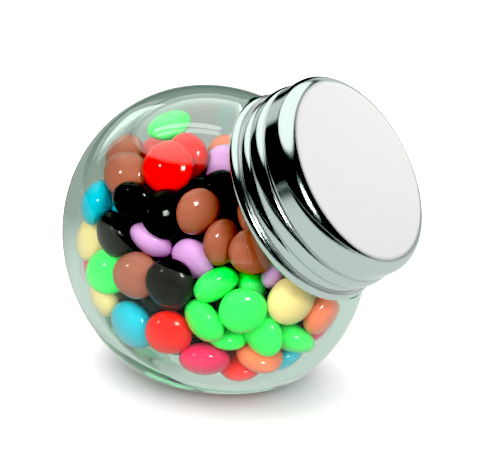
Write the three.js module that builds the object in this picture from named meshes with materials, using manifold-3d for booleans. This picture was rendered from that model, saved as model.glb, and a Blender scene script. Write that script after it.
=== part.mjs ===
// A small clear glass jar with a tilted neck, shut by a metal screw lid and full of chocolate lentils.
// Millimetres, +Z up. The origin is the middle of the flat base, and the neck leans towards +X.
import * as THREE from 'three';
import { mergeVertices } from 'three/addons/utils/BufferGeometryUtils.js';
import Module from 'manifold-3d';

const wasm = await Module();
wasm.setup();

// Jar body: a ball squashed from front to back, cut flat below and under the lid
const BALL_RADIUS = 33;
const BALL_HALF_DEPTH = 26.4;
const CENTRE_HEIGHT = 27.4;
const HEEL_BLEND = 3;
const SHOULDER_REACH = 24.9;

// Neck, measured along its axis from the middle of the ball
const NECK_RISE = THREE.MathUtils.degToRad(33.6);
const NECK_RADIUS = 19.2;
const BORE_RADIUS = 16.6;
const LIP_ROUND = 0.6;
const MOUTH_REACH = 39.1;

// Glass: an even wall all round, and a floor that is thick on the side away from the neck
const WALL = 2.6;
const FLOOR = 4.6;
const FLOOR_LEAST = 2.4;
const FLOOR_TILT = 0.25;
const FLOOR_BLEND = 2.6;
const BORE_OVERSHOOT = 1;

// Lid: a pressed metal cap with one bead and a rolled lower edge
const LID_TOP = 39.9;
const LID_SHEET = 0.5;
const LID_FLAT_RADIUS = 18;
const LID_CORNER = 2.6;
const LID_INNER_CORNER = 0.8;
const LID_INNER_RADIUS = 19.8;
const BAND_RADIUS = 20.6;
const BAND_END = 33.9;
const GROOVE_RADIUS = 20.3;
const BEAD_RADIUS = 21.1;
const BEAD_TOP = 33.4;
const BEAD_END = 30.0;
const SKIRT_RADIUS = 20.6;
const CURL_CENTRE_RADIUS = 20.7;
const CURL_REACH = 26.35;
const CURL_ROUND = 1.1;
const PRESS_ROUND = 0.2;
const BEAD_ROUND = 0.6;

// Chocolate lentils, and the slope that they lie up to
const LENTIL_RADIUS = 4.7;
const LENTIL_HALF_THICKNESS = 2.75;
const LENTIL_COUNT = 76;
const LENTIL_TRIALS = 14;
const LENTIL_CLEARANCE = 0.6;
const GLASS_GAP = 0.4;
const SIZE_SPREAD = 0.08;
const TILT_SCATTER = 1.1;
const SETTLE_ROUNDS = 12;
const FILL_HEIGHT = 21.5;
const FILL_FALL = 0.42;
const HEAP_REACH = 23;
const CORE_INSET = 4.8;
const SEED = 20;

const LATHE_SEGMENTS = 44;
const BALL_ROWS = 20;
const CAVITY_ROWS = 16;
const CORE_ROWS = 12;
const CORE_SEGMENTS = 20;
const LENTIL_SIDES = 8;
const LENTIL_RINGS = 4;
const MERGE_DISTANCE = 1e-4;

const neckAxis = new THREE.Vector3(Math.cos(NECK_RISE), 0, Math.sin(NECK_RISE));

// Smaller of two reaches, rounded off where they are closer than the blend
function roundedMin(a, b, blend) {
  const overlap = Math.max(blend - Math.abs(a - b), 0) / blend;
  return Math.min(a, b) - overlap * overlap * blend / 4;
}

// Distance from the middle of the ball to a plane, along a direction
function planeReach(distance, normal, direction) {
  const slope = direction.dot(normal);
  return slope > 0 ? distance / slope : Infinity;
}

const down = new THREE.Vector3(0, 0, -1);
const floorWay = new THREE.Vector3(-FLOOR_TILT, 0, -1).normalize();

function ballReach(direction) {
  return 1 / Math.hypot(
    direction.x / BALL_RADIUS,
    direction.y / BALL_HALF_DEPTH,
    direction.z / BALL_RADIUS,
  );
}

function outerReach(direction) {
  return roundedMin(ballReach(direction), planeReach(CENTRE_HEIGHT, down, direction), HEEL_BLEND);
}

function cavityReach(direction) {
  const floor = planeReach(CENTRE_HEIGHT - FLOOR, floorWay, direction);
  const lowest = planeReach(CENTRE_HEIGHT - FLOOR_LEAST, down, direction);
  const inner = roundedMin(ballReach(direction) - WALL, floor, FLOOR_BLEND);
  return roundedMin(inner, lowest, FLOOR_BLEND);
}

// Room for the contents: the cavity of the ball together with the bore of the neck
function roomReach(direction) {
  const along = direction.dot(neckAxis);
  const across = Math.sqrt(Math.max(1 - along * along, 1e-9));
  const bore = along > 0 ? Math.min(BORE_RADIUS / across, MOUTH_REACH / along) : 0;
  return Math.max(cavityReach(direction), bore);
}

// Closed solid round the middle of the ball whose surface lies at a given reach in every direction
function reachSolid(reach, rows, segments) {
  const halfCircle = [];
  for (let i = 0; i <= rows; i += 1) {
    const angle = -Math.PI / 2 + Math.PI * i / rows;
    halfCircle.push(new THREE.Vector2(Math.max(Math.cos(angle), 0), Math.sin(angle)));
  }
  halfCircle[0].x = 0;
  halfCircle[rows].x = 0;
  const geometry = new THREE.LatheGeometry(halfCircle, segments).rotateX(Math.PI / 2);
  const position = geometry.getAttribute('position');
  const direction = new THREE.Vector3();
  for (let i = 0; i < position.count; i += 1) {
    direction.fromBufferAttribute(position, i).normalize();
    direction.multiplyScalar(reach(direction.clone()));
    position.setXYZ(i, direction.x, direction.y, direction.z);
  }
  return geometry;
}

// Turns a profile of (radius, reach along the neck) into a solid round the neck axis
function neckLathe(profile) {
  const points = profile.map(([radius, reach]) => new THREE.Vector2(radius, reach));
  const turned = new THREE.LatheGeometry(points, LATHE_SEGMENTS).rotateX(Math.PI / 2);
  return turned.rotateY(Math.PI / 2 - NECK_RISE);
}

function arc(centreRadius, centreReach, radius, fromDegrees, toDegrees, steps) {
  const points = [];
  for (let i = 0; i <= steps; i += 1) {
    const angle = THREE.MathUtils.degToRad(fromDegrees + (toDegrees - fromDegrees) * i / steps);
    points.push([centreRadius + radius * Math.cos(angle), centreReach + radius * Math.sin(angle)]);
  }
  return points;
}

function toSolid(geometry) {
  const bare = geometry.clone();
  bare.deleteAttribute('normal');
  bare.deleteAttribute('uv');
  const merged = mergeVertices(bare, MERGE_DISTANCE);
  const triangles = [];
  const corners = merged.getIndex().array;
  for (let i = 0; i < corners.length; i += 3) {
    const [a, b, c] = [corners[i], corners[i + 1], corners[i + 2]];
    if (a !== b && b !== c && c !== a) triangles.push(a, b, c);
  }
  const mesh = new wasm.Mesh({
    numProp: 3,
    vertProperties: new Float32Array(merged.getAttribute('position').array),
    triVerts: new Uint32Array(triangles),
  });
  return new wasm.Manifold(mesh);
}

function toGeometry(solid) {
  const mesh = solid.getMesh();
  const geometry = new THREE.BufferGeometry();
  geometry.setAttribute('position', new THREE.BufferAttribute(mesh.vertProperties, 3));
  geometry.setIndex(new THREE.BufferAttribute(mesh.triVerts, 1));
  geometry.computeVertexNormals();
  return geometry;
}

// The cavity and the bore as one solid, with a gap to the glass, up to a reach along the neck
function hollow(gap, reach) {
  const cavity = reachSolid((direction) => cavityReach(direction) - gap, CAVITY_ROWS, LATHE_SEGMENTS);
  const bore = neckLathe([[0, 0], [BORE_RADIUS - gap, 0], [BORE_RADIUS - gap, reach], [0, reach]]);
  return toSolid(cavity).add(toSolid(bore));
}

function jarGeometry() {
  const neck = neckLathe([
    [0, 0],
    [NECK_RADIUS, 0],
    ...arc(NECK_RADIUS - LIP_ROUND, MOUTH_REACH - LIP_ROUND, LIP_ROUND, 0, 90, 2),
    [0, MOUTH_REACH],
  ]);
  const width = 2 * BALL_RADIUS;
  const belowLid = neckLathe([[0, -width], [width, -width], [width, SHOULDER_REACH], [0, SHOULDER_REACH]]);
  const ball = toSolid(reachSolid(outerReach, BALL_ROWS, LATHE_SEGMENTS)).intersect(toSolid(belowLid));
  return toGeometry(ball.add(toSolid(neck)).subtract(hollow(0, MOUTH_REACH + BORE_OVERSHOOT)));
}

function lidGeometry() {
  const beadMiddle = (BEAD_TOP + BEAD_END) / 2;
  return neckLathe([
    [0, LID_TOP - LID_SHEET],
    [LID_INNER_RADIUS - LID_INNER_CORNER, LID_TOP - LID_SHEET],
    [LID_INNER_RADIUS, LID_TOP - LID_SHEET - LID_INNER_CORNER],
    ...arc(CURL_CENTRE_RADIUS, CURL_REACH, CURL_ROUND, 170, 460, 8),
    [SKIRT_RADIUS, CURL_REACH + CURL_ROUND + PRESS_ROUND],
    [SKIRT_RADIUS, BEAD_END - PRESS_ROUND],
    [GROOVE_RADIUS, BEAD_END],
    [BEAD_RADIUS - PRESS_ROUND, BEAD_END + BEAD_ROUND],
    [BEAD_RADIUS, beadMiddle],
    [BEAD_RADIUS - PRESS_ROUND, BEAD_TOP - BEAD_ROUND],
    [GROOVE_RADIUS, BEAD_TOP],
    [BAND_RADIUS - PRESS_ROUND, BAND_END],
    [BAND_RADIUS, BAND_END + BEAD_ROUND],
    ...arc(LID_FLAT_RADIUS, LID_TOP - LID_CORNER, LID_CORNER, 0, 90, 4),
    [0, LID_TOP],
  ]);
}

// Repeatable random numbers from 0 to 1
function randomSource(seed) {
  let state = seed;
  return () => {
    state = (state * 1664525 + 1013904223) % 4294967296;
    return state / 4294967296;
  };
}

function heapReach(direction) {
  const fillNormal = new THREE.Vector3(FILL_FALL, 0, 1).normalize();
  const fill = planeReach(FILL_HEIGHT * fillNormal.z, fillNormal, direction);
  const neckEnd = planeReach(HEAP_REACH, neckAxis, direction);
  return Math.min(roomReach(direction), fill, neckEnd);
}

function randomDirection(random) {
  const z = 2 * random() - 1;
  const turn = 2 * Math.PI * random();
  const level = Math.sqrt(1 - z * z);
  return new THREE.Vector3(level * Math.cos(turn), level * Math.sin(turn), z);
}

// Moves a lentil towards the middle until all of it is clear of the glass
function settle(lentil, centre) {
  const position = lentil.getAttribute('position');
  const point = new THREE.Vector3();
  for (let round = 0; round < SETTLE_ROUNDS; round += 1) {
    const push = new THREE.Vector3();
    for (let i = 0; i < position.count; i += 1) {
      point.fromBufferAttribute(position, i).add(centre);
      const direction = point.clone().normalize();
      const excess = point.length() - roomReach(direction) + LENTIL_CLEARANCE;
      if (excess > push.length()) push.copy(direction).multiplyScalar(excess);
    }
    if (push.length() === 0) break;
    centre.sub(push);
  }
}

function lentilGeometry(random, outward) {
  const size = 1 + SIZE_SPREAD * (2 * random() - 1);
  const lentil = new THREE.SphereGeometry(1, LENTIL_SIDES, LENTIL_RINGS).rotateX(Math.PI / 2).scale(
    LENTIL_RADIUS * size, LENTIL_RADIUS * size, LENTIL_HALF_THICKNESS * size,
  );
  const facing = outward.clone().addScaledVector(randomDirection(random), TILT_SCATTER).normalize();
  const turn = new THREE.Quaternion().setFromUnitVectors(new THREE.Vector3(0, 0, 1), facing);
  return lentil.applyQuaternion(turn);
}

// The trial place that lies furthest from the lentils already laid
function roomiestPlace(random, placed) {
  let best = { room: -1 };
  for (let trial = 0; trial < LENTIL_TRIALS; trial += 1) {
    const direction = randomDirection(random);
    const lentil = lentilGeometry(random, direction);
    const centre = direction.clone().multiplyScalar(heapReach(direction) - LENTIL_HALF_THICKNESS);
    settle(lentil, centre);
    const room = Math.min(...placed.map((other) => other.distanceTo(centre)), BALL_RADIUS);
    if (room > best.room) best = { room, lentil, centre };
  }
  return best;
}

function candyGeometry() {
  const random = randomSource(SEED);
  const placed = [];
  let heap = toSolid(reachSolid((direction) => heapReach(direction) - CORE_INSET, CORE_ROWS, CORE_SEGMENTS));
  for (let i = 0; i < LENTIL_COUNT; i += 1) {
    const { lentil, centre } = roomiestPlace(random, placed);
    placed.push(centre);
    heap = heap.add(toSolid(lentil.translate(centre.x, centre.y, centre.z)));
  }
  const clear = heap.intersect(hollow(GLASS_GAP, MOUTH_REACH - GLASS_GAP));
  const [largest] = clear.decompose().sort((a, b) => b.volume() - a.volume());
  return toGeometry(largest);
}

function part(name, geometry, look) {
  const mesh = new THREE.Mesh(geometry, new THREE.MeshStandardMaterial(look));
  mesh.name = name;
  return mesh;
}

const jar = new THREE.Group();
jar.position.z = CENTRE_HEIGHT;
jar.add(
  part('jar', jarGeometry(), {
    color: 0xdfeae5, roughness: 0.03, metalness: 0, transparent: true, opacity: 0.35,
  }),
  part('lid', lidGeometry(), { color: 0xc9cfcd, roughness: 0.15, metalness: 1 }),
  part('candies', candyGeometry(), { color: 0x8a4a34, roughness: 0.25, metalness: 0 }),
);

export default jar;
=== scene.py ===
# %% [markdown]
# # A tilted glass jar of chocolate lentils
# The piece is a small gift jar: a squashed ball of clear glass with a leaning neck, a bright metal
# screw lid, and a heap of sugar-coated chocolate lentils inside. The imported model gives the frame,
# in metres, with the origin in the middle of the base, +X towards the lid and +Z up. Everything
# here is made in that frame, so no piece has to be fitted afterwards.

# %% Load the frame
import math

import bpy
import numpy as np
from mathutils import Matrix, Vector


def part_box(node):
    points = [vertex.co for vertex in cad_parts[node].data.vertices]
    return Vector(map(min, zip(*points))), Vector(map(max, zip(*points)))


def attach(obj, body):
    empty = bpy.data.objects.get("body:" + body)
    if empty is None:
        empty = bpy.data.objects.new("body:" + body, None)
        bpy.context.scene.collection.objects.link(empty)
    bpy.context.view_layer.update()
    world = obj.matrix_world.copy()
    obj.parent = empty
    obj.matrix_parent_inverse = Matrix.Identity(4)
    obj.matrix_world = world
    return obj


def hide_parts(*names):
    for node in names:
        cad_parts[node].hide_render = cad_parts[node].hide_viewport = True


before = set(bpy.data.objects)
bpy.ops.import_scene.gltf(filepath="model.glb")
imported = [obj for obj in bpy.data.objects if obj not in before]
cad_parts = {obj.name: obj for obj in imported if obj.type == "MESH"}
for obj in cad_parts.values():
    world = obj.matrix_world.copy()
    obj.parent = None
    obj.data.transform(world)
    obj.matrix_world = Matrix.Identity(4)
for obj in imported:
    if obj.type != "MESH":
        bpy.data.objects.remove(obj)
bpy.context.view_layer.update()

MM = 0.001
jar_low, jar_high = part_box("jar")
print("jar from", [round(v / MM, 1) for v in jar_low], "to", [round(v / MM, 1) for v in jar_high], "mm")

# %% [markdown]
# ## The jar in numbers
# A moulded jar has no edges that a lathe or a box would give. It is easier to say how far the glass
# reaches from the middle of the ball in each direction: the ball itself, cut by the flat base and
# by the shoulder under the lid, with the neck added. Rounded forms of min and max blend these, as
# the mould does. Sizes are in millimetres, measured from the middle of the ball.

# %% Driving sizes of the jar
BALL_RADIUS = -jar_low.x / MM
BALL_HALF_DEPTH = jar_high.y / MM
CENTRE_HEIGHT = 27.4
NECK_RISE = math.radians(33.6)
NECK_RADIUS = 19.2
BORE_RADIUS = 16.6
MOUTH_REACH = 39.1
SHOULDER_REACH = 24.9
WALL = 2.6
GLASS_FLOOR = 4.6
GLASS_FLOOR_LEAST = 2.4
GLASS_FLOOR_TILT = 0.25
print("ball", round(2 * BALL_RADIUS, 1), "mm across and", round(2 * BALL_HALF_DEPTH, 1), "mm deep")

# %% Directions in the jar
CENTRE = np.array([0.0, 0.0, CENTRE_HEIGHT])
UP = np.array([0.0, 0.0, 1.0])
DOWN = np.array([0.0, 0.0, -1.0])
ACROSS = np.array([0.0, 1.0, 0.0])
NECK_AXIS = np.array([math.cos(NECK_RISE), 0.0, math.sin(NECK_RISE)])
NECK_SIDE = np.array([-math.sin(NECK_RISE), 0.0, math.cos(NECK_RISE)])
GLASS_FLOOR_WAY = np.array([-GLASS_FLOOR_TILT, 0.0, -1.0]) / math.hypot(GLASS_FLOOR_TILT, 1)
print("neck rises", round(math.degrees(NECK_RISE), 1), "degrees")

# %% Reach of a ball, a plane and a pipe
LEAST_SLOPE = 1e-6
LEAST_SQUARE = 1e-9
ENDLESS = 1e4


def ball_reach(direction):
    return 1 / np.linalg.norm(direction / (BALL_RADIUS, BALL_HALF_DEPTH, BALL_RADIUS), axis=-1)


def plane_reach(distance, normal, direction):
    slope = np.maximum(direction @ normal, LEAST_SLOPE)
    return np.minimum(distance / slope, ENDLESS)


def pipe_reach(radius, direction):
    """Reach of a pipe along the neck, which goes on well past the mouth."""
    along = direction @ NECK_AXIS
    across = np.sqrt(np.maximum(1 - along**2, LEAST_SQUARE))
    return np.where(along > 0, np.minimum(radius / across, 2 * MOUTH_REACH), 0.0)


print("shoulder", SHOULDER_REACH, "mm and mouth", MOUTH_REACH, "mm along the neck")

# %% Outside and inside of the glass
HEEL_BLEND = 3.0
SHOULDER_BLEND = 0.8
NECK_BLEND = 1.6
FLOOR_BLEND = 2.6
BORE_BLEND = 3.0


def rounded_min(a, b, blend):
    overlap = np.maximum(blend - np.abs(a - b), 0) / blend
    return np.minimum(a, b) - overlap**2 * blend / 4


def rounded_max(a, b, blend):
    return -rounded_min(-a, -b, blend)


def outer_reach(direction):
    shoulder = plane_reach(SHOULDER_REACH, NECK_AXIS, direction)
    body = rounded_min(ball_reach(direction), shoulder, SHOULDER_BLEND)
    body = rounded_min(body, plane_reach(CENTRE_HEIGHT, DOWN, direction), HEEL_BLEND)
    return rounded_max(body, pipe_reach(NECK_RADIUS, direction), NECK_BLEND)


def cavity_reach(direction):
    tilted = plane_reach(CENTRE_HEIGHT - GLASS_FLOOR, GLASS_FLOOR_WAY, direction)
    level = plane_reach(CENTRE_HEIGHT - GLASS_FLOOR_LEAST, DOWN, direction)
    inner = rounded_min(ball_reach(direction) - WALL, tilted, FLOOR_BLEND)
    inner = rounded_min(inner, level, FLOOR_BLEND)
    return rounded_max(inner, pipe_reach(BORE_RADIUS, direction), BORE_BLEND)


glass_below = float(outer_reach(DOWN) - cavity_reach(DOWN))
print("glass is", round(glass_below, 1), "mm thick under the middle")

# %% [markdown]
# ## Camera
# The photograph was taken from a little above, with the lid turned towards the lens. The angles and
# the distance come from fitting the round outline and the rim of the lid. The camera looks along
# the line from its place to the middle of the frame, so the jar sits left of the centre.

# %% Directions of the view
VIEW_TURN = math.radians(30.2)
VIEW_RISE = math.radians(22.0)
view_right = np.array([math.cos(VIEW_TURN), math.sin(VIEW_TURN), 0.0])
view_back = np.array([
    math.sin(VIEW_TURN) * math.cos(VIEW_RISE),
    -math.cos(VIEW_TURN) * math.cos(VIEW_RISE),
    math.sin(VIEW_RISE),
])
view_up = np.cross(view_back, view_right)
view_level = np.cross(UP, view_right)
print("the lens looks down by", round(math.degrees(VIEW_RISE), 1), "degrees")

# %% Place the camera
IMAGE_WIDTH, IMAGE_HEIGHT = 478, 476
BALL_ACROSS, BALL_DOWN = 212.9, 243.3
PIXELS_PER_MM = 4.851
VIEW_DISTANCE = 350.5
SENSOR_MM = 36.0
FARTHEST_SEEN = 20

lens_shift_right = (IMAGE_WIDTH / 2 - BALL_ACROSS) / PIXELS_PER_MM
lens_shift_up = (BALL_DOWN - IMAGE_HEIGHT / 2) / PIXELS_PER_MM
camera_place = CENTRE + VIEW_DISTANCE * view_back
camera_place = camera_place + lens_shift_right * view_right + lens_shift_up * view_up
camera_turn = Matrix(np.stack([view_right, view_up, view_back], axis=1).tolist())

lens = bpy.data.cameras.new("camera")
lens.sensor_width = SENSOR_MM
lens.lens = SENSOR_MM * VIEW_DISTANCE * PIXELS_PER_MM / IMAGE_WIDTH
lens.clip_end = FARTHEST_SEEN
camera = bpy.data.objects.new("camera", lens)
camera.location = Vector(camera_place * MM)
camera.rotation_euler = camera_turn.to_euler()
bpy.context.collection.objects.link(camera)
bpy.context.scene.camera = camera
print("lens", round(lens.lens, 1), "mm at", [round(v, 3) for v in camera.location])

# %% [markdown]
# ## Helpers for materials
# Colours are written as sRGB hex values, as a paint program shows them, and one function turns them
# into the linear values that shaders use. Another adds a shader node with its settings and links.
# Node by node in Python is longer than in the editor, so these keep each material easy to read.

# %% Colour and node helpers
def linear(hex_colour):
    parts = [int(hex_colour[i:i + 2], 16) / 255 for i in (1, 3, 5)]
    return [p / 12.92 if p <= 0.04045 else ((p + 0.055) / 1.055) ** 2.4 for p in parts] + [1.0]


def add_node(tree, kind, settings=None, links=None):
    node = tree.nodes.new(kind)
    for name, value in (settings or {}).items():
        if name in node.inputs:
            node.inputs[name].default_value = value
        else:
            setattr(node, name, value)
    for name, source in (links or {}).items():
        tree.links.new(source, node.inputs[name])
    return node


def new_material(name):
    material = bpy.data.materials.new(name)
    material.use_nodes = True
    material.node_tree.nodes.clear()
    return material, material.node_tree


# A Mix node has sockets of one name for numbers and for colours, so they are picked by their place.
NUMBER_A, NUMBER_B, NUMBER_RESULT = 2, 3, 0
COLOUR_A, COLOUR_B, COLOUR_RESULT = 6, 7, 2
print("mid grey is", round(linear("#808080")[0], 3), "in linear light")

# %% [markdown]
# ## Paper sweep
# The photograph is a bright studio shot on white paper. A plain white plane would do for the lens, but the
# lid and the glass mirror the floor, and paper that bright would wash them out. So the sheet is white to the
# lens, where only the contact shadow shows on it, lifted by a faint painted glow. To the lid and the glass it
# is a dark grey copy with a painted glow, which fades to painted shade behind the jar. The Light Path node
# tells the two apart.

# %% Make the paper
FLOOR_PAINTED_GLOW = 0.76
FLOOR_PAINTED_GLOW_BEHIND = 0.42
FLOOR_PAINTED_GLOW_SEEN = 0.08
FADE_NEAR, FADE_FAR = 0.03, 0.1


def paper_with_painted_light():
    # Uncoated paper scatters light evenly, so it shows no shine, only shade. Its glow is painted light, and
    # the grey copy that mirrors see is painted shade.
    material, tree = new_material("uncoated white paper, painted glow and shade")
    by_lens = add_node(tree, "ShaderNodeLightPath").outputs["Is Camera Ray"]
    paper = add_node(tree, "ShaderNodeMix", {"data_type": "RGBA"}, {"Factor": by_lens})
    # Painted shade: mirrored and refracted rays see a dark grey copy of the paper, the lens sees it white.
    paper.inputs[COLOUR_A].default_value = linear("#303231")
    paper.inputs[COLOUR_B].default_value = linear("#FAFAFA")
    place = add_node(tree, "ShaderNodeTexCoord")
    behind = add_node(tree, "ShaderNodeVectorMath", {"operation": "DOT_PRODUCT"})
    behind.inputs[1].default_value = view_level
    tree.links.new(place.outputs["Object"], behind.inputs[0])
    # Painted glow for mirrors, bright in front of the jar and fading to painted shade behind it.
    fade = add_node(tree, "ShaderNodeMapRange", {
        "From Min": FADE_NEAR, "From Max": FADE_FAR, "To Min": FLOOR_PAINTED_GLOW, "To Max": FLOOR_PAINTED_GLOW_BEHIND,
    }, {"Value": behind.outputs["Value"]})
    painted_glow = add_node(tree, "ShaderNodeMix", {"data_type": "FLOAT"}, {"Factor": by_lens})
    tree.links.new(fade.outputs["Result"], painted_glow.inputs[NUMBER_A])
    painted_glow.inputs[NUMBER_B].default_value = FLOOR_PAINTED_GLOW_SEEN
    surface = add_node(tree, "ShaderNodeBsdfPrincipled", {
        "Roughness": 0.9, "Specular IOR Level": 0.0, "Emission Color": linear("#FFFFFF"),
    }, {"Base Color": paper.outputs[COLOUR_RESULT], "Emission Strength": painted_glow.outputs[NUMBER_RESULT]})
    add_node(tree, "ShaderNodeOutputMaterial", links={"Surface": surface.outputs[0]})
    return material


print("paper glows", FLOOR_PAINTED_GLOW, "in front and", FLOOR_PAINTED_GLOW_BEHIND, "behind")

# %% Lay the floor
FLOOR_HALF_WIDTH = 4.0


def lay_sheet(name, corners, material):
    """A flat sheet of the stage, from its corners in metres."""
    mesh = bpy.data.meshes.new(name)
    mesh.from_pydata(corners, [], [(0, 1, 2, 3)])
    mesh.materials.append(material)
    sheet = bpy.data.objects.new(name, mesh)
    bpy.context.collection.objects.link(sheet)
    print(name, "lies in a box of", [round(v, 2) for v in sheet.dimensions], "m along the axes")
    return sheet


floor_corners = [
    (x * FLOOR_HALF_WIDTH, y * FLOOR_HALF_WIDTH, 0) for x, y in ((-1, -1), (1, -1), (1, 1), (-1, 1))
]
floor = lay_sheet("floor", floor_corners, paper_with_painted_light())

# %% [markdown]
# ## Black card
# A bright metal looks bright only next to something dark, so a studio lays black card in front of shiny
# things. This card lies before the jar, just above the paper. It is hidden from the lens and throws no
# shadow, so it only shows in the lid and in the glass, as a painted dark reflection over the bright floor.

# %% Lay the black card
CARD_NEAR, CARD_FAR = -0.15, -0.9
CARD_LEFT, CARD_RIGHT = -1.2, 0.5
CARD_LIFT = 0.001


def black_felt_for_painted_reflection():
    # The pile of felt swallows light, so mirrored metal shows it as a black band: a painted dark reflection.
    material, tree = new_material("black pressed felt, painted dark reflection")
    surface = add_node(tree, "ShaderNodeBsdfDiffuse", {"Color": linear("#060606")})
    add_node(tree, "ShaderNodeOutputMaterial", links={"Surface": surface.outputs[0]})
    return material


card_outline = [
    (CARD_LEFT, CARD_NEAR), (CARD_LEFT, CARD_FAR), (CARD_RIGHT, CARD_FAR), (CARD_RIGHT, CARD_NEAR),
]
card_corners = [
    tuple(right * view_right + away * view_level + CARD_LIFT * UP) for right, away in card_outline
]
card = lay_sheet("black_card_seen_in_mirrors", card_corners, black_felt_for_painted_reflection())
card.visible_camera = False
card.visible_diffuse = False
card.visible_shadow = False

# %% [markdown]
# ## Soft boxes
# The lid tells where the lights stood, because it mirrors them: a broad soft light above and behind,
# a narrow key light at the right of the lens, and a white panel at the right that fills the flat
# top. Area lights of real size do the same here, with a fill at the left for the sweets. The small
# spark gives the sweets their glints, the strip draws a soft streak on the glass, and the wash
# lights the paper. Each is given by its radiance, the brightness of the box itself, because that
# is what a mirror shows.

# %% Helper for a soft box
def soft_box(name, right, away, up, width, radiance, height=None):
    """Area light, in metres from the jar as the camera sees it. A box without a height is round."""
    light = bpy.data.lights.new(name, "AREA")
    light.shape = "RECTANGLE" if height else "DISK"
    light.size = width
    light.size_y = height or width
    area = width * height if height else math.pi * width**2 / 4
    light.energy = radiance * math.pi * area
    lamp = bpy.data.objects.new(name, light)
    lamp.location = Vector(right * view_right + away * view_level + up * UP)
    lamp.rotation_euler = (Vector(CENTRE * MM) - lamp.location).to_track_quat("-Z", "Y").to_euler()
    bpy.context.collection.objects.link(lamp)
    print(name, "at", [round(v, 2) for v in lamp.location], "m with", round(light.energy, 1), "W")
    return lamp


# %% Hang the soft boxes
FACING_DOWN = (0, 0, 0)
STRIP_RIGHT, STRIP_AWAY = -0.525, 0.22

overhead = soft_box("overhead", right=-0.14, away=0.5, up=0.8, width=1.76, radiance=1.35)
overhead.rotation_euler = FACING_DOWN
key = soft_box("key", right=0.31, away=-0.67, up=0.42, width=0.2, height=0.18, radiance=28.0)
fill = soft_box("fill", right=-0.25, away=-0.65, up=0.42, width=0.5, height=0.5, radiance=9.5)
fill.visible_glossy = False
fill.visible_transmission = False
spark = soft_box("spark", right=-0.56, away=-0.35, up=0.37, width=0.08, height=0.08, radiance=26.0)
strip = soft_box("strip", right=-0.3, away=0.18, up=0.7, width=0.57, height=0.06, radiance=5.0)
strip.rotation_euler = (0, 0, VIEW_TURN + math.atan2(STRIP_AWAY, STRIP_RIGHT))
wash = soft_box("wash", right=0.0, away=0.0, up=0.6, width=2.4, radiance=1.4)
wash.visible_camera = False
wash.visible_glossy = False
wash.visible_transmission = False
rear = soft_box("rear", right=0.8, away=1.3, up=0.42, width=1.2, height=0.7, radiance=0.75)
soft_box("backdrop", right=-0.54, away=0.8, up=0.32, width=0.5, height=0.34, radiance=0.8)
soft_box("white_panel", right=0.78, away=0.38, up=0.3, width=0.7, height=0.5, radiance=1.6)

# %% [markdown]
# ## Dark room
# Around the lights the studio is dark, and the side of the lid shows that as black bands. So the
# world is dim, and hidden from mirrored rays. Rays that have come through the glass meet a lighter
# room, because the thick rims of a real jar gather the white from all around it. A raised black
# level gives the picture the deep darks of the photograph. Light crosses many faces of glass on
# its way to the sweets and back, so it may bounce more often than usual.

# %% Darken the room
ROOM_DIM = 0.2
ROOM_THROUGH_GLASS = 0.5
BLACK_LEVEL = 0.06

room = bpy.data.worlds.new("dark room")
room.use_nodes = True
walls = room.node_tree.nodes["Background"]
walls.inputs["Color"].default_value = linear("#FFFFFF")
through_glass = add_node(room.node_tree, "ShaderNodeLightPath").outputs["Is Transmission Ray"]
strength = add_node(room.node_tree, "ShaderNodeMapRange", {
    "To Min": ROOM_DIM, "To Max": ROOM_THROUGH_GLASS,
}, {"Value": through_glass})
room.node_tree.links.new(strength.outputs["Result"], walls.inputs["Strength"])
scene = bpy.context.scene
scene.world = room
room.cycles_visibility.glossy = False
scene.view_settings.view_transform = "Standard"
scene.view_settings.use_curve_mapping = True
scene.view_settings.curve_mapping.black_level = (BLACK_LEVEL, BLACK_LEVEL, BLACK_LEVEL)
print("room at", ROOM_DIM, "and", ROOM_THROUGH_GLASS, "through the glass")

# %% Let light pass many walls
scene.cycles.max_bounces = 18
scene.cycles.transmission_bounces = 14
scene.cycles.glossy_bounces = 8
scene.cycles.diffuse_bounces = 5
scene.cycles.sample_clamp_indirect = 12
print("light may pass", scene.cycles.transmission_bounces, "faces of glass")

# %% [markdown]
# ## Jar of soda-lime glass
# The jar is one thick-walled piece of pressed soda-lime glass. A thin shell would look like plastic
# film, because the bright rims of a jar come from light caught between its two faces. So the mesh
# has an outer skin, a rounded lip and an inner skin, all from the reach functions above. It is made
# of rings round the neck that close in a point at both ends, which suits the lid and the sweets too.

# %% Helpers for rings and pieces
def ring_faces(rings, segments):
    """Faces of a skin: a first point, rings of points, and a last point."""
    step = np.arange(segments)
    following = (step + 1) % segments
    faces = [(0, 1 + a, 1 + b) for a, b in zip(step, following)]
    for ring in range(rings - 1):
        here, there = 1 + ring * segments, 1 + (ring + 1) * segments
        faces += [(here + a, there + a, there + b, here + b) for a, b in zip(step, following)]
    last = 1 + rings * segments
    final = last - segments
    faces += [(final + b, final + a, last) for a, b in zip(step, following)]
    return faces


def add_piece(name, points_mm, faces, materials):
    mesh = bpy.data.meshes.new(name)
    mesh.from_pydata((np.asarray(points_mm) * MM).tolist(), [], faces)
    mesh.validate()
    mesh.polygons.foreach_set("use_smooth", [True] * len(mesh.polygons))
    for material in materials:
        mesh.materials.append(material)
    piece = bpy.data.objects.new(name, mesh)
    bpy.context.collection.objects.link(piece)
    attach(piece, "root")
    print(name, len(mesh.vertices), "points,", len(mesh.polygons), "faces")
    return piece


def neck_spokes(segments):
    """Directions round the neck, one for each point of a ring."""
    turn = np.linspace(0, 2 * math.pi, segments, endpoint=False)
    return np.cos(turn)[:, None] * NECK_SIDE + np.sin(turn)[:, None] * ACROSS


def flat_ring(radius, along, spokes):
    return along * NECK_AXIS + radius * spokes


def skin_points(first, rings, last):
    return np.concatenate([first[None], *rings, last[None]]) + CENTRE


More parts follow.
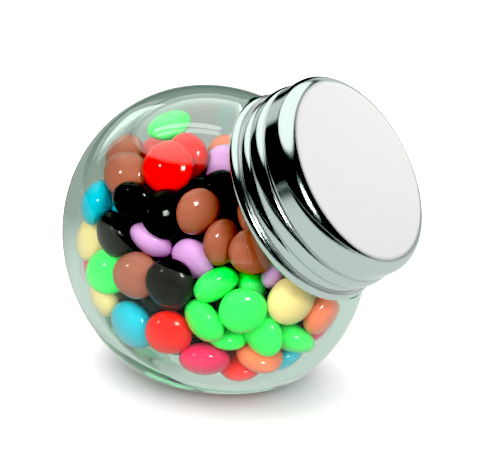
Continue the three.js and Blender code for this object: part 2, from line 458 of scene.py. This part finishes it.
# %% Make the jar's skin
JAR_SEGMENTS = 160
BALL_RINGS = 100
OUTER_NECK_END, OUTER_NECK_RINGS = 27.0, 10
INNER_NECK_END, INNER_NECK_RINGS = 22.0, 14
LIP_ROUND = 0.6
LIP_ANGLES = np.radians([30, 60, 90])
jar_spokes = neck_spokes(JAR_SEGMENTS)


def skin_ring(angle, reach):
    direction = math.cos(angle) * NECK_AXIS + math.sin(angle) * jar_spokes
    return reach(direction)[:, None] * direction


def neck_angles(radius, near, count):
    """Angles off the neck axis that space rings evenly along a straight neck, then over the ball."""
    straight = np.arctan2(radius, np.linspace(MOUTH_REACH - LIP_ROUND, near, count))
    ball = np.linspace(straight[-1], math.pi, BALL_RINGS)[1:-1]
    return np.concatenate([straight, ball])


def lip_ring(radius, side, angle):
    rounded = radius + side * LIP_ROUND * (1 - math.cos(angle))
    return flat_ring(rounded, MOUTH_REACH - LIP_ROUND * (1 - math.sin(angle)), jar_spokes)


outer_angles = neck_angles(NECK_RADIUS, OUTER_NECK_END, OUTER_NECK_RINGS)[::-1]
inner_angles = neck_angles(BORE_RADIUS, INNER_NECK_END, INNER_NECK_RINGS)
jar_rings = [skin_ring(angle, outer_reach) for angle in outer_angles]
jar_rings += [lip_ring(NECK_RADIUS, -1, angle) for angle in LIP_ANGLES]
jar_rings += [lip_ring(BORE_RADIUS, 1, angle) for angle in LIP_ANGLES[::-1]]
jar_rings += [skin_ring(angle, cavity_reach) for angle in inner_angles]
outer_end = -NECK_AXIS * outer_reach(-NECK_AXIS)
inner_end = -NECK_AXIS * cavity_reach(-NECK_AXIS)
jar_points = skin_points(outer_end, jar_rings, inner_end)
print(len(jar_rings), "rings of", JAR_SEGMENTS, "points")

# %% Make the glass
GLASS_INDEX = 1.52
TINT_PER_METRE = 95.0


def pressed_glass():
    # Pressed glass is smooth, so it mirrors sharply and bends what lies behind it. A trace of iron
    # makes it green where light crosses much of it, at the rims and in the thick floor.
    material, tree = new_material("pressed soda-lime glass")
    surface = add_node(tree, "ShaderNodeBsdfPrincipled", {
        "Base Color": linear("#FFFFFF"), "Roughness": 0.0, "IOR": GLASS_INDEX, "Transmission Weight": 1.0,
    })
    tint = add_node(tree, "ShaderNodeVolumeAbsorption", {
        "Color": linear("#ADE4C8"), "Density": TINT_PER_METRE,
    })
    add_node(tree, "ShaderNodeOutputMaterial", links={
        "Surface": surface.outputs[0], "Volume": tint.outputs[0],
    })
    return material


jar_faces = ring_faces(len(jar_rings), JAR_SEGMENTS)
jar = add_piece("jar_glass", jar_points, jar_faces, [pressed_glass()])
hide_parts("jar")

# %% [markdown]
# ## Lid of bright tinplate
# The lid is pressed from thin tinned steel: a flat top, a rounded corner, one bead to stiffen the
# side and a rolled lower edge, so that nobody is cut. It is turned from one outline, with arcs for
# the corner, the bead and the roll, because a lid is round and each form on it runs all the way
# round. The top has a satin finish and the side is bright.

# %% Sizes of the lid
LID_TOP = 39.9
LID_SHEET = 0.5
LID_FLAT_RADIUS = 17.85
LID_CORNER = 2.75
LID_INNER_RADIUS = 19.8
INNER_CORNER = 1.0
BAND_RADIUS, BAND_ROUND, BAND_LIFT, BAND_START = 20.6, 0.35, 0.75, 1.0
BEAD_RADIUS, BEAD_TOP, BEAD_END = 21.1, 33.4, 30.0
BEAD_FULLNESS = 0.8
GROOVE_RADIUS, GROOVE_ROUND = 20.3, 0.3
GROOVE_STEP, GROOVE_DROP = 0.4, 0.25
SKIRT_RADIUS, SKIRT_LIFT, SKIRT_DROP = 20.6, 0.25, 0.6
CURL_RADIUS, CURL_REACH, CURL_ROUND = 20.7, 26.35, 1.1
STRAIGHT_GAP = 0.2
print("lid", round(2 * (CURL_RADIUS + CURL_ROUND), 1), "mm across its rolled edge")

# %% Make the lid's skin
LID_SEGMENTS = 192
BEAD_POINTS = 15
MIDDLE_RING = 1.0
under_top = LID_TOP - LID_SHEET


def arc(radius, along, size, start, end, count):
    angles = np.radians(np.linspace(start, end, count))
    return np.stack([radius + size * np.cos(angles), along + size * np.sin(angles)], axis=1)


bead_angles = np.linspace(0, math.pi, BEAD_POINTS)
bead = np.stack([
    GROOVE_RADIUS + (BEAD_RADIUS - GROOVE_RADIUS) * np.sin(bead_angles) ** BEAD_FULLNESS,
    BEAD_END + (BEAD_TOP - BEAD_END) * (1 - np.cos(bead_angles)) / 2,
], axis=1)
inner_flat = np.linspace(MIDDLE_RING, LID_INNER_RADIUS - INNER_CORNER - STRAIGHT_GAP, num=6)
band_heights = np.linspace(BEAD_TOP + BAND_START, LID_TOP - LID_CORNER - STRAIGHT_GAP, num=4)
outer_flat = np.linspace(LID_FLAT_RADIUS - 2 * STRAIGHT_GAP, MIDDLE_RING, num=8)
lid_outline = np.concatenate([
    [(radius, under_top) for radius in inner_flat],
    arc(LID_INNER_RADIUS - INNER_CORNER, under_top - INNER_CORNER, INNER_CORNER, start=80, end=0, count=5),
    arc(CURL_RADIUS, CURL_REACH, CURL_ROUND, start=165, end=460, count=28),
    [(SKIRT_RADIUS, CURL_REACH + CURL_ROUND + SKIRT_LIFT), (SKIRT_RADIUS, BEAD_END - SKIRT_DROP)],
    arc(GROOVE_RADIUS + GROOVE_STEP, BEAD_END - GROOVE_DROP, GROOVE_ROUND, start=270, end=180, count=3)[1:],
    bead,
    arc(BAND_RADIUS - BAND_ROUND, BEAD_TOP + BAND_LIFT, BAND_ROUND, start=-75, end=0, count=4),
    [(BAND_RADIUS, along) for along in band_heights],
    arc(LID_FLAT_RADIUS, LID_TOP - LID_CORNER, LID_CORNER, start=0, end=90, count=12),
    [(radius, LID_TOP) for radius in outer_flat],
])
lid_spokes = neck_spokes(LID_SEGMENTS)
lid_rings = [flat_ring(radius, along, lid_spokes) for radius, along in lid_outline]
lid_points = skin_points(NECK_AXIS * under_top, lid_rings, NECK_AXIS * LID_TOP)
print(len(lid_outline), "points in the outline of the lid")

# %% Make the tinplate
SHINE_SPREAD = 0.25
GRAIN_STRENGTH = 0.3


def tinplate(name, hex_colour, roughness, grain_mm, grain_depth_mm):
    """Tinned sheet, with the grain that the rolls left and a shine that varies with it."""
    material, tree = new_material(name)
    place = add_node(tree, "ShaderNodeTexCoord")
    grain = add_node(tree, "ShaderNodeTexNoise", {
        "Scale": 1 / (grain_mm * MM), "Detail": 3.0,
    }, {"Vector": place.outputs["Object"]})
    shine = add_node(tree, "ShaderNodeMapRange", {
        "To Min": (1 - SHINE_SPREAD) * roughness, "To Max": (1 + SHINE_SPREAD) * roughness,
    }, {"Value": grain.outputs["Fac"]})
    relief = add_node(tree, "ShaderNodeBump", {
        "Strength": GRAIN_STRENGTH, "Distance": grain_depth_mm * MM,
    }, {"Height": grain.outputs["Fac"]})
    surface = add_node(tree, "ShaderNodeBsdfPrincipled", {
        "Base Color": linear(hex_colour), "Metallic": 1.0,
    }, {"Roughness": shine.outputs["Result"], "Normal": relief.outputs["Normal"]})
    add_node(tree, "ShaderNodeOutputMaterial", links={"Surface": surface.outputs[0]})
    return material


# Bright rolled tin mirrors the lights and the dark room as bands with slightly soft edges. The pale green in
# its colour is a painted reflection of the green glass around it.
bright_tin_painted_green = tinplate("bright rolled tinplate, painted green reflection", "#CFDED8", roughness=0.17, grain_mm=0.8, grain_depth_mm=0.004)
# A satin finish spreads each mirrored light so far that the top is one even, pale field.
satin_tin = tinplate("satin rolled tinplate", "#C8C9C7", roughness=0.34, grain_mm=0.4, grain_depth_mm=0.006)
print("two finishes:", bright_tin_painted_green.name, "and", satin_tin.name)

# %% Make the lid
FLAT_WITHIN = math.radians(20)
lid_finishes = [bright_tin_painted_green, satin_tin]
lid_faces = ring_faces(len(lid_outline), LID_SEGMENTS)
lid = add_piece("lid_tinplate", lid_points, lid_faces, lid_finishes)
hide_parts("lid")
flat_facing = math.cos(FLAT_WITHIN)
for face in lid.data.polygons:
    if face.normal.dot(Vector(NECK_AXIS)) > flat_facing:
        face.material_index = lid_finishes.index(satin_tin)

# %% [markdown]
# ## Lentils
# Each sweet is a chocolate lentil in a hard sugar shell, like a ball pressed flat. A heap of them
# can't be drawn by hand, and a heap of random ones would cut into each other. So the sweets that
# show in the photograph start where it shows them, the rest start anywhere behind, and all of them
# are pushed apart and down until they lie on each other inside the glass.

# %% Sweets that the photograph shows
def seen(colour, across, down, lean=10, clock=0, deep=0.0, size=1.0):
    """A sweet that the photograph shows at a pixel, leaning off the glass about a clock direction."""
    return dict(colour=colour, across=across, down=down, lean=lean, clock=clock, deep=deep, size=size)


SEEN_LENTILS = [
    seen("milk_brown", across=126, down=176, lean=10, clock=0),
    seen("milk_brown", across=121, down=150, lean=45, clock=75, deep=3),
    seen("red", across=169, down=163, lean=12, clock=90, size=1.12),
    seen("red", across=190, down=151, lean=40, clock=100, deep=4),
    seen("green", across=170, down=112, lean=30, clock=90),
    seen("lilac", across=224, down=163, lean=40, clock=80, deep=7, size=0.92),
    seen("blue", across=99, down=201, lean=-36, clock=24),
    seen("yellow", across=87, down=239, lean=35, clock=-8),
    seen("dark_brown", across=134, down=207, lean=15, clock=90, deep=2),
    seen("dark_brown", across=170, down=213, lean=8, clock=0, size=1.04),
    seen("dark_brown", across=117, down=230, lean=25, clock=150),
    seen("milk_brown", across=199, down=213, lean=45, clock=0),
    # Painted shadow: this sweet lies in the shadow of the lid and is given the dark brown shell for it.
    seen("dark_brown", across=222, down=194, lean=35, clock=60, deep=5),
    seen("milk_brown", across=221, down=246, lean=45, clock=10),
    seen("milk_brown", across=243, down=250, lean=20, clock=20, deep=2),
    seen("lilac", across=155, down=239, lean=65, clock=118, deep=3),
    seen("lilac", across=199, down=260, lean=35, clock=125, deep=1),
    seen("green", across=112, down=266, lean=25, clock=-20, deep=1),
    seen("milk_brown", across=142, down=272, lean=20, clock=0, deep=2),
    seen("dark_brown", across=172, down=282, lean=5, clock=0, size=1.04),
    seen("yellow", across=106, down=295, lean=12, clock=-30),
    seen("blue", across=133, down=324, lean=0, clock=0, size=1.14),
    seen("red", across=175, down=330, lean=12, clock=0, deep=1),
    seen("crimson", across=215, down=357, lean=42, clock=110, size=1.08),
    seen("green", across=218, down=288, lean=50, clock=75),
    seen("green", across=250, down=283, lean=60, clock=0, deep=3, size=0.9),
    seen("green", across=207, down=321, lean=45, clock=150),
    seen("green", across=231, down=341, lean=60, clock=130, deep=3, size=0.9),
    seen("green", across=241, down=310, lean=25, clock=0),
    seen("green", across=259, down=333, lean=25, clock=160),
    seen("yellow", across=286, down=306, lean=15, clock=5, size=1.12),
    seen("lilac", across=269, down=269, lean=60, clock=20, deep=4, size=0.9),
    seen("orange", across=260, down=359, lean=50, clock=95, deep=2),
    seen("green", across=290, down=342, lean=30, clock=120, deep=2),
    seen("orange", across=320, down=317, lean=30, clock=0, deep=1),
    seen("crimson", across=319, down=338, lean=40, clock=20, deep=1),
    seen("green", across=325, down=302, lean=40, clock=80, deep=2),
    seen("blue", across=294, down=367, lean=50, clock=70, deep=2),
    seen("red", across=247, down=377, lean=60, clock=92, deep=3),
]
seen_count = len(SEEN_LENTILS)
print(seen_count, "sweets show in the photograph")

# %% [markdown]
# ## Where a seen lentil touches the glass
# The wall of the jar bends the line of sight, so a sweet near the edge shows further out than it
# lies. Each pixel's line is followed to the outside of the glass, bent there, followed to the
# inside and bent back. The lentil slides along the last part until it just clears the wall.

# %% Helpers for lines of sight
LEAST_DISTANCE = 1e-3
NORMAL_STEP = 0.05
SIGHT_STEP = 0.1


def unit(vectors):
    return vectors / np.linalg.norm(vectors, axis=-1, keepdims=True)


def depth_in(reach, points):
    """How far points lie outside a surface, in millimetres, negative inside."""
    distance = np.linalg.norm(points, axis=-1)
    return distance - reach(points / np.maximum(distance, LEAST_DISTANCE)[..., None])


def surface_normal(reach, points):
    slopes = [
        depth_in(reach, points + NORMAL_STEP * axis) - depth_in(reach, points - NORMAL_STEP * axis)
        for axis in np.eye(3)
    ]
    return unit(np.stack(slopes, axis=-1))


def meet(reach, start, direction, longest):
    """First point inside a surface along each line, or the nearest one for a line that misses."""
    travel = np.arange(0, longest, SIGHT_STEP)
    points = start[:, None] + travel[None, :, None] * direction[:, None]
    depth = depth_in(reach, points)
    first = np.where((depth < 0).any(axis=1), np.argmax(depth < 0, axis=1), np.argmin(depth, axis=1))
    return points[np.arange(len(points)), first]


def bend(direction, normal, index_ratio):
    facing = -np.sum(direction * normal, axis=1, keepdims=True)
    root = np.sqrt(np.maximum(1 - index_ratio**2 * (1 - facing**2), 0))
    return unit(index_ratio * direction + (index_ratio * facing - root) * normal)


# %% Follow the lines of sight
SEARCH_BEFORE = 50
SEARCH_OUTSIDE = 70
SEARCH_WALL = 40


def seen_values(name):
    return np.array([lentil[name] for lentil in SEEN_LENTILS])


lens_place = camera_place - CENTRE
aim = np.outer((seen_values("across") - BALL_ACROSS) / PIXELS_PER_MM, view_right)
aim += np.outer((BALL_DOWN - seen_values("down")) / PIXELS_PER_MM, view_up)
sight = unit(aim - lens_place)
search_start = lens_place + (VIEW_DISTANCE - SEARCH_BEFORE) * sight
outside = meet(outer_reach, search_start, sight, SEARCH_OUTSIDE)
sight = bend(sight, surface_normal(outer_reach, outside), 1 / GLASS_INDEX)
wall = meet(cavity_reach, outside, sight, SEARCH_WALL)
wall_normals = surface_normal(cavity_reach, wall)
sight = bend(sight, wall_normals, GLASS_INDEX)
print("lines of sight cross", round(float(np.linalg.norm(wall - outside, axis=1).mean()), 1), "mm of glass")

# %% Turn the seen lentils
clock = np.radians(seen_values("clock"))
lean = np.radians(seen_values("lean"))[:, None]
long_way = np.cos(clock)[:, None] * view_up + np.sin(clock)[:, None] * view_right
goal_axes = unit(np.cos(lean) * wall_normals + np.sin(lean) * unit(np.cross(long_way, wall_normals)))
print(len(goal_axes), "sweets placed from the photograph")

# %% [markdown]
# ## Packing the heap
# A lentil is a flattened ball, so how far it reaches in any direction has a short formula. Two
# lentils overlap if no direction keeps them apart, and the direction that keeps them furthest apart
# is found in a few steps. Each round moves overlapping pairs apart, turns them a little, keeps all
# of them inside the glass and under the slope of the heap, and lets them sink. The seen ones count
# as heavy, so the others make room for them. The others also stay behind the front layer and out of
# two corners, low in front and high on the left, where the photograph shows clear glass.

# %% Number and sizes of the sweets
LENTIL_COUNT = 178
LENTIL_RADIUS = 4.7
LENTIL_HALF_THICKNESS = 2.75
SIZE_LEAST, SIZE_MOST = 0.94, 1.04
SEEN_LIGHTNESS = 0.12
HEAP_SEED = 7

random = np.random.default_rng(HEAP_SEED)
hidden_count = LENTIL_COUNT - seen_count
sizes = np.concatenate([seen_values("size"), random.uniform(SIZE_LEAST, SIZE_MOST, hidden_count)])
radii = LENTIL_RADIUS * sizes
thickness = LENTIL_HALF_THICKNESS * sizes
hidden = np.repeat([0.0, 1.0], [seen_count, hidden_count])[:, None]
lightness = np.concatenate([np.full(seen_count, SEEN_LIGHTNESS), np.ones(hidden_count)])
print(hidden_count, "sweets fill the heap behind the", seen_count, "seen ones")

# %% Slide the seen lentils clear of the wall
GLASS_GAP = 0.25
SLIDE_STEP = 0.1
SLIDE_ROUNDS = 120


def touch_along(axes, direction, radius, half):
    """How far flattened balls reach along directions, and the points where they end."""
    along = np.sum(axes * direction, axis=1, keepdims=True)
    pull = radius[:, None] ** 2 * direction + (half**2 - radius**2)[:, None] * along * axes
    distance = np.sqrt(np.sum(pull * direction, axis=1))
    return distance, pull / distance[:, None]


goals = wall.copy()
for _ in range(SLIDE_ROUNDS):
    outward = surface_normal(cavity_reach, goals)
    _, touch = touch_along(goal_axes, outward, radii[:seen_count], thickness[:seen_count])
    crowded = depth_in(cavity_reach, goals + touch) > -GLASS_GAP
    goals = goals + SLIDE_STEP * crowded[:, None] * sight
goals = goals + seen_values("deep")[:, None] * sight
print("seen sweets lie", round(float(-depth_in(cavity_reach, goals).mean()), 1), "mm inside the wall")

# %% Scatter the others
FILL_HEIGHT = 21.5
FILL_FALL = 0.42
HEAP_REACH = 23.0
FRONT_LAYER = 9.0
START_DEPTH = 3.0
SCATTER_LOW, SCATTER_HIGH = (-30, -25, -21), (36, 25, 26)
SCATTER_TRIES = 30000

fill_normal = unit(np.array([FILL_FALL, 0.0, 1.0]))
fill_level = FILL_HEIGHT * fill_normal[2]
places = random.uniform(SCATTER_LOW, SCATTER_HIGH, (SCATTER_TRIES, 3))
free = depth_in(cavity_reach, places + FRONT_LAYER * view_back) < 0
free &= depth_in(cavity_reach, places) < -START_DEPTH
free &= places @ fill_normal < fill_level - LENTIL_HALF_THICKNESS
free &= places @ NECK_AXIS < HEAP_REACH - LENTIL_RADIUS
centres = np.concatenate([goals, places[free][:hidden_count]])
axes = np.concatenate([goal_axes, unit(random.normal(size=(hidden_count, 3)))])
print(len(centres), "sweets start,", int(free.sum()), "free places found")

# %% Part the pairs that overlap
PAIR_MARGIN = 0.2
PARTING_ROUNDS = 12
PARTING_STEP = 0.1
TURN_EASE = 0.19
PUSH_SHARE = 0.55
LEAST_OFFSET = 1e-9


def press_pairs(centres, axes, radius, half):
    """Moves and turns that part the overlapping pairs, and the deepest overlap."""
    gap = np.linalg.norm(centres[None] - centres[:, None], axis=2)
    first, second = np.nonzero(np.triu(gap < radius[:, None] + radius[None] + PAIR_MARGIN, 1))
    between = centres[second] - centres[first]
    direction = unit(between + LEAST_OFFSET)
    for _ in range(PARTING_ROUNDS):
        _, touch_first = touch_along(axes[first], direction, radius[first], half[first])
        _, touch_second = touch_along(axes[second], direction, radius[second], half[second])
        direction = unit(direction + PARTING_STEP * (between - touch_first - touch_second))
    reach_first, touch_first = touch_along(axes[first], direction, radius[first], half[first])
    reach_second, touch_second = touch_along(axes[second], direction, radius[second], half[second])
    depth = np.maximum(reach_first + reach_second - np.sum(between * direction, axis=1), 0)
    arm_first, arm_second = np.cross(touch_first, direction), np.cross(-touch_second, direction)
    give_first = lightness[first] * (1 + TURN_EASE * np.sum(arm_first**2, axis=1))
    give_second = lightness[second] * (1 + TURN_EASE * np.sum(arm_second**2, axis=1))
    push = (PUSH_SHARE * depth / (give_first + give_second))[:, None]
    move, twist = np.zeros_like(centres), np.zeros_like(centres)
    np.add.at(move, first, -lightness[first, None] * push * direction)
    np.add.at(move, second, lightness[second, None] * push * direction)
    np.add.at(twist, first, -TURN_EASE * lightness[first, None] * push * arm_first)
    np.add.at(twist, second, TURN_EASE * lightness[second, None] * push * arm_second)
    return move, twist, depth.max()


_, _, overlap_at_start = press_pairs(centres, axes, radii, thickness)
print("overlaps of up to", round(float(overlap_at_start), 1), "mm at the start")

# %% Keep the heap inside the glass
BARE_LOW_REACH = 23.6
BARE_LEFT_REACH = 22.0
FRONT_GAP = 5.0
BACK_STEP = 0.3
TOUCH_ROUNDS = 2
EASE_BACK = 0.5
bare_low_way = unit(np.array([0.0, -0.67, -0.74]))
bare_left_way = unit(np.array([-0.75, -0.45, 0.5]))


def past_corner(centres, axes, radius, half, way, reach):
    """How far hidden lentils stand out into a corner of clear glass."""
    end, _ = touch_along(axes, np.tile(way, (len(axes), 1)), radius, half)
    return hidden * np.maximum(centres @ way + end - reach, 0)[:, None]


def keep_inside(centres, axes, radius, half):
    """Lentils moved and turned until none cuts the glass or stands above the heap."""
    outward = surface_normal(cavity_reach, centres)
    for _ in range(TOUCH_ROUNDS):
        _, touch = touch_along(axes, outward, radius, half)
        outward = surface_normal(cavity_reach, centres + touch)
    _, touch = touch_along(axes, outward, radius, half)
    arm = np.cross(touch, outward)
    excess = np.maximum(depth_in(cavity_reach, centres + touch) + GLASS_GAP, 0)
    push = (excess / (1 + TURN_EASE * np.sum(arm**2, axis=1)))[:, None]
    axes = unit(axes - TURN_EASE * np.cross(push * arm, axes))
    above = np.maximum(centres @ fill_normal + half - fill_level, 0)[:, None]
    beyond = np.maximum(centres @ NECK_AXIS + half - HEAP_REACH, 0)[:, None]
    low = past_corner(centres, axes, radius, half, bare_low_way, BARE_LOW_REACH)
    left = past_corner(centres, axes, radius, half, bare_left_way, BARE_LEFT_REACH)
    centres = centres - push * outward
    centres = centres - EASE_BACK * low * bare_low_way - EASE_BACK * left * bare_left_way
    near = depth_in(cavity_reach, centres + FRONT_GAP * view_back) > 0
    centres = centres - BACK_STEP * hidden * near[:, None] * view_back
    return centres - EASE_BACK * above * fill_normal - EASE_BACK * beyond * NECK_AXIS, axes


print("the heap reaches", HEAP_REACH, "mm towards the neck")

# %% Push apart, turn and sink
ROUNDS = 500
HOLD_ROUNDS = 400
WALL_ROUNDS = 2
START_SIZE = 0.5
SINK = 0.04
HOLD = 0.3
DEPTH_HOLD = 0.1

for step in range(ROUNDS):
    grown = min(1.0, START_SIZE + step / ROUNDS)
    move, twist, deepest = press_pairs(centres, axes, grown * radii, grown * thickness)
    centres = centres + move - SINK * UP * (1 - step / ROUNDS)
    axes = unit(axes + np.cross(twist, axes))
    if step < HOLD_ROUNDS:
        astray = goals - centres[:seen_count]
        astray -= (1 - DEPTH_HOLD) * np.sum(astray * sight, axis=1, keepdims=True) * sight
        centres[:seen_count] += HOLD * astray
        axes[:seen_count] = unit(axes[:seen_count] + HOLD * goal_axes)
    for _ in range(WALL_ROUNDS):
        centres, axes = keep_inside(centres, axes, grown * radii, grown * thickness)
drift = centres[:seen_count] - goals
drift = np.linalg.norm(drift - np.sum(drift * sight, axis=1, keepdims=True) * sight, axis=1)
print("deepest overlap", round(float(deepest), 2), "mm; seen sweets moved", round(float(drift.mean()), 1),
      "mm on average and", round(float(drift.max()), 1), "at most")

# %% [markdown]
# ## Sugar shells
# A sugar shell is built up from many thin coats of syrup in a turning drum and then polished with wax, so it
# has one even colour with faint clouds, a soft shine and very shallow dimples. Sweets that lie covered, deep
# in the heap, are given the dark brown shell as painted shade, dark as the gaps in the photograph are. One
# mesh holds all the sweets of a colour, which keeps the list of pieces short.

# %% Colour the sweets
SHELL_COLOURS = {
    "red": "#F81410",
    "crimson": "#F4205C",
    "orange": "#FF7C54",
    "yellow": "#F4D68E",
    "green": "#3CFF62",
    "blue": "#00BAD2",
    "lilac": "#DC9EDA",
    "milk_brown": "#A65E4C",
    "dark_brown": "#1C1111",
}
PAINTED_SHADE_DEPTH = 6.5
COVER_RADII = 1.4
NEIGHBOUR = 9.0

colours = [lentil["colour"] for lentil in SEEN_LENTILS]
colours += list(random.choice(list(SHELL_COLOURS), hidden_count))
apart = np.linalg.norm(centres[:, None, :2] - centres[None, :, :2], axis=2)
higher = centres[None, :, 2] > centres[:, None, 2] + LENTIL_HALF_THICKNESS
covered = ((apart < COVER_RADII * LENTIL_RADIUS) & higher).any(axis=1)
inner = covered & (depth_in(cavity_reach, centres) < -PAINTED_SHADE_DEPTH)
inner &= centres @ bare_left_way < BARE_LEFT_REACH - PAINTED_SHADE_DEPTH
to_seen = np.linalg.norm(centres[:, None] - centres[None, :seen_count], axis=2)
# Covered sweets deep in the heap take the dark brown shell as painted shade.
for i in range(seen_count, LENTIL_COUNT):
    if inner[i]:
        colours[i] = "dark_brown"
    elif to_seen[i].min() < NEIGHBOUR and centres[i] @ view_back > 0:
        colours[i] = colours[int(np.argmin(to_seen[i]))]
print(int(inner.sum()), "sweets lie inside, out of the light")

# %% Shape one lentil
LENTIL_RINGS, LENTIL_SEGMENTS = 15, 32
LUMP_COUNT = 3
LUMP_HEIGHT = 0.012
LUMP_WAVES = 4
LUMP_SHIFT = 6

polar = np.linspace(0, math.pi, LENTIL_RINGS + 2)[1:-1]
round_the_edge = np.linspace(0, 2 * math.pi, LENTIL_SEGMENTS, endpoint=False)
ball = np.concatenate([
    [(0, 0, 1)],
    np.stack([
        np.outer(np.sin(polar), np.cos(round_the_edge)).ravel(),
        np.outer(np.sin(polar), np.sin(round_the_edge)).ravel(),
        np.repeat(np.cos(polar), LENTIL_SEGMENTS),
    ], axis=1),
    [(0, 0, -1)],
])
ball_faces = ring_faces(LENTIL_RINGS, LENTIL_SEGMENTS)


def lump():
    """A faint wave over the shell, because no two coats of syrup dry alike."""
    waves = random.uniform(-LUMP_WAVES, LUMP_WAVES, 3)
    return LUMP_HEIGHT * np.sin(ball @ waves + random.uniform(0, LUMP_SHIFT))


def lentil_points(index):
    lumps = 1 + sum(lump() for _ in range(LUMP_COUNT))
    local = ball * lumps[:, None] * (radii[index], radii[index], thickness[index])
    side = unit(np.cross(axes[index], random.normal(size=3)))
    turned = np.stack([side, np.cross(axes[index], side), axes[index]])
    return local @ turned + centres[index] + CENTRE


print("one lentil has", len(ball), "points")

# %% Make the sugar shell
WAX = 0.75
WAX_ON_DARK = 0.3
CLOUD_MM = 3.0
CLOUD_SHADE = 0.82
DIMPLE_MM = 1.2
DIMPLE_DEPTH_MM = 0.1
DIMPLE_STRENGTH = 0.05


def sugar_shell(name, hex_colour, wax):
    # Sugar is cloudy, so the colour looks even and deep, and the wax on it gives small sharp lights.
    material, tree = new_material("wax-polished sugar shell " + name)
    place = add_node(tree, "ShaderNodeTexCoord")
    clouds = add_node(tree, "ShaderNodeTexNoise", {
        "Scale": 1 / (CLOUD_MM * MM), "Detail": 2.0,
    }, {"Vector": place.outputs["Object"]})
    base = linear(hex_colour)
    tint = add_node(tree, "ShaderNodeMix", {"data_type": "RGBA"}, {"Factor": clouds.outputs["Fac"]})
    tint.inputs[COLOUR_A].default_value = [part * CLOUD_SHADE for part in base[:3]] + [1]
    tint.inputs[COLOUR_B].default_value = base
    dimples = add_node(tree, "ShaderNodeTexNoise", {
        "Scale": 1 / (DIMPLE_MM * MM), "Detail": 1.0,
    }, {"Vector": place.outputs["Object"]})
    relief = add_node(tree, "ShaderNodeBump", {
        "Strength": DIMPLE_STRENGTH, "Distance": DIMPLE_DEPTH_MM * MM,
    }, {"Height": dimples.outputs["Fac"]})
    surface = add_node(tree, "ShaderNodeBsdfPrincipled", {
        "Roughness": 0.35, "IOR": 1.5, "Specular IOR Level": 0.1, "Coat Weight": wax, "Coat Roughness": 0.04,
    }, {"Base Color": tint.outputs[COLOUR_RESULT], "Normal": relief.outputs["Normal"]})
    add_node(tree, "ShaderNodeOutputMaterial", links={"Surface": surface.outputs[0]})
    return material


print("dimples", DIMPLE_MM, "mm apart and clouds", CLOUD_MM, "mm")

# %% Make one mesh for each colour
sweets = []
for name, hex_colour in SHELL_COLOURS.items():
    members = [i for i, colour in enumerate(colours) if colour == name]
    points = np.concatenate([lentil_points(i) for i in members])
    faces = []
    for order in range(len(members)):
        faces += [tuple(corner + order * len(ball) for corner in face) for face in ball_faces]
    # Less wax keeps the dark sweets dark, where a full shine would veil them in grey.
    wax = WAX_ON_DARK if name == "dark_brown" else WAX
    piece = add_piece("sweets_" + name, points, faces, [sugar_shell(name, hex_colour, wax)])
    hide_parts("candies")
    sweets.append(piece)

# %% [markdown]
# ## What each light reaches
# Blender sends no lamp light through solid glass without noise, so the jar throws no shade in the
# light of the key, the fill and the spark, and the sweets are lit as if the wall were not there. The
# key and the fill leave the floor out, and the spark lights the sweets alone. The wash lights the
# floor alone, where it leaves the soft shadow of the jar, the strip shows in the glass alone, and
# the rear panel in the lid alone.

# %% Link the lights
def light_group(name, pieces, state):
    group = bpy.data.collections.new(name)
    for order, piece in enumerate(pieces):
        group.objects.link(piece)
        group.collection_objects[order].light_linking.link_state = state
    return group


past_the_glass = light_group("all_but_the_jar", [jar], "EXCLUDE")
past_the_floor = light_group("all_but_the_floor", [floor], "EXCLUDE")
for lamp in (key, fill, spark):
    lamp.light_linking.blocker_collection = past_the_glass
for lamp in (key, fill):
    lamp.light_linking.receiver_collection = past_the_floor
spark.light_linking.receiver_collection = light_group("sweets_only", sweets, "INCLUDE")
strip.light_linking.receiver_collection = light_group("jar_only", [jar], "INCLUDE")
rear.light_linking.receiver_collection = light_group("lid_only", [lid], "INCLUDE")
wash.light_linking.receiver_collection = light_group("floor_only", [floor], "INCLUDE")
print(len(sweets), "pieces of sweets take the spark")
